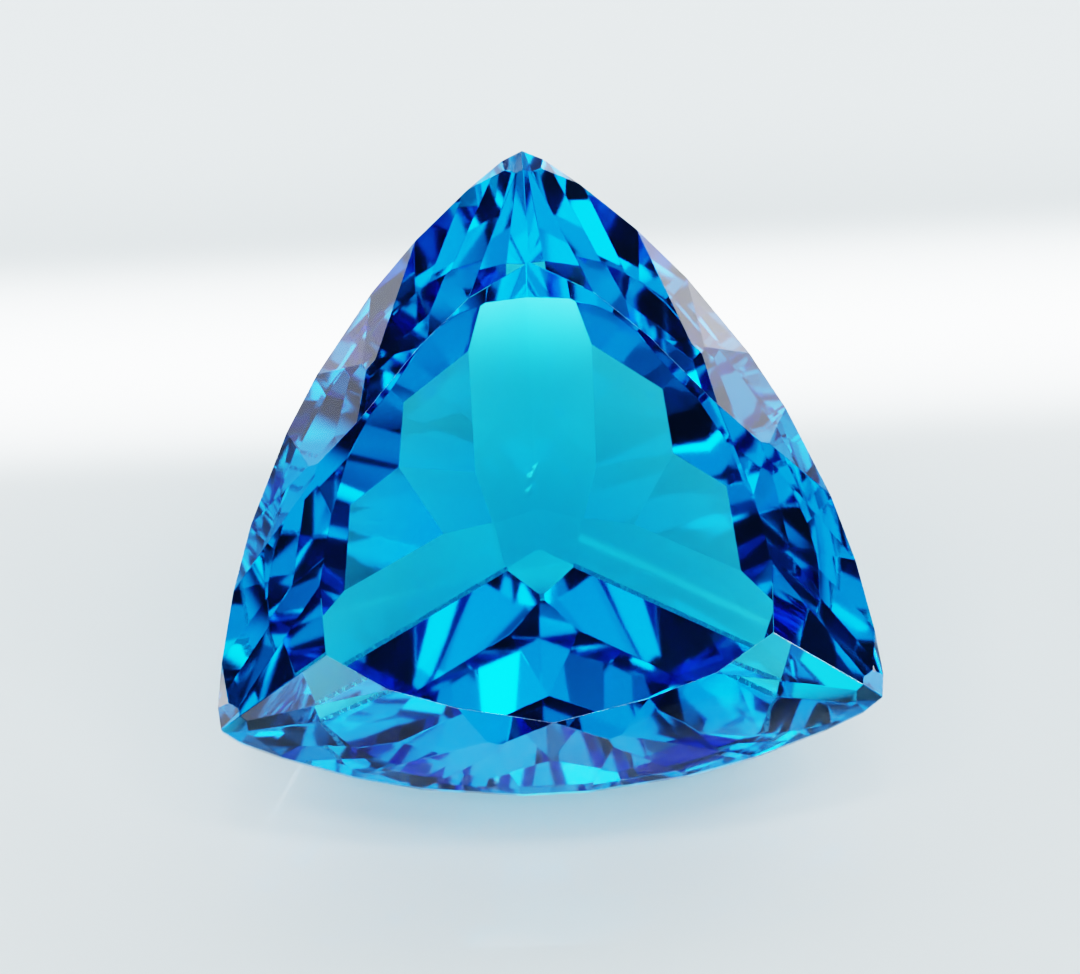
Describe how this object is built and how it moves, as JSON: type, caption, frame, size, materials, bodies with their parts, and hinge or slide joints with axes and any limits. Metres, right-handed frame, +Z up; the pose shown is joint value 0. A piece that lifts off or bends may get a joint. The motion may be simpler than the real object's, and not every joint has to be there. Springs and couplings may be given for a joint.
{
  "type": "trillion-cut topaz gemstone",
  "caption": "Loose blue topaz cut as a rounded triangle, with a flat table, a faceted crown and a deep faceted pavilion, lying on one pavilion facet.",
  "frame": {"origin": "on the surface the stone lies on, under the middle of its bounding box", "axes": "+Z up from the resting pavilion facet, -Y the side the table faces, up and to the front, X across the stone, which is mirror symmetric about X = 0"},
  "size_m": [0.0158, 0.0124, 0.0115],
  "materials": {
    "topaz": "polished, clear saturated cyan blue"
  },
  "bodies": {
    "root": {"topaz": "topaz"}
  },
  "joints": []
}
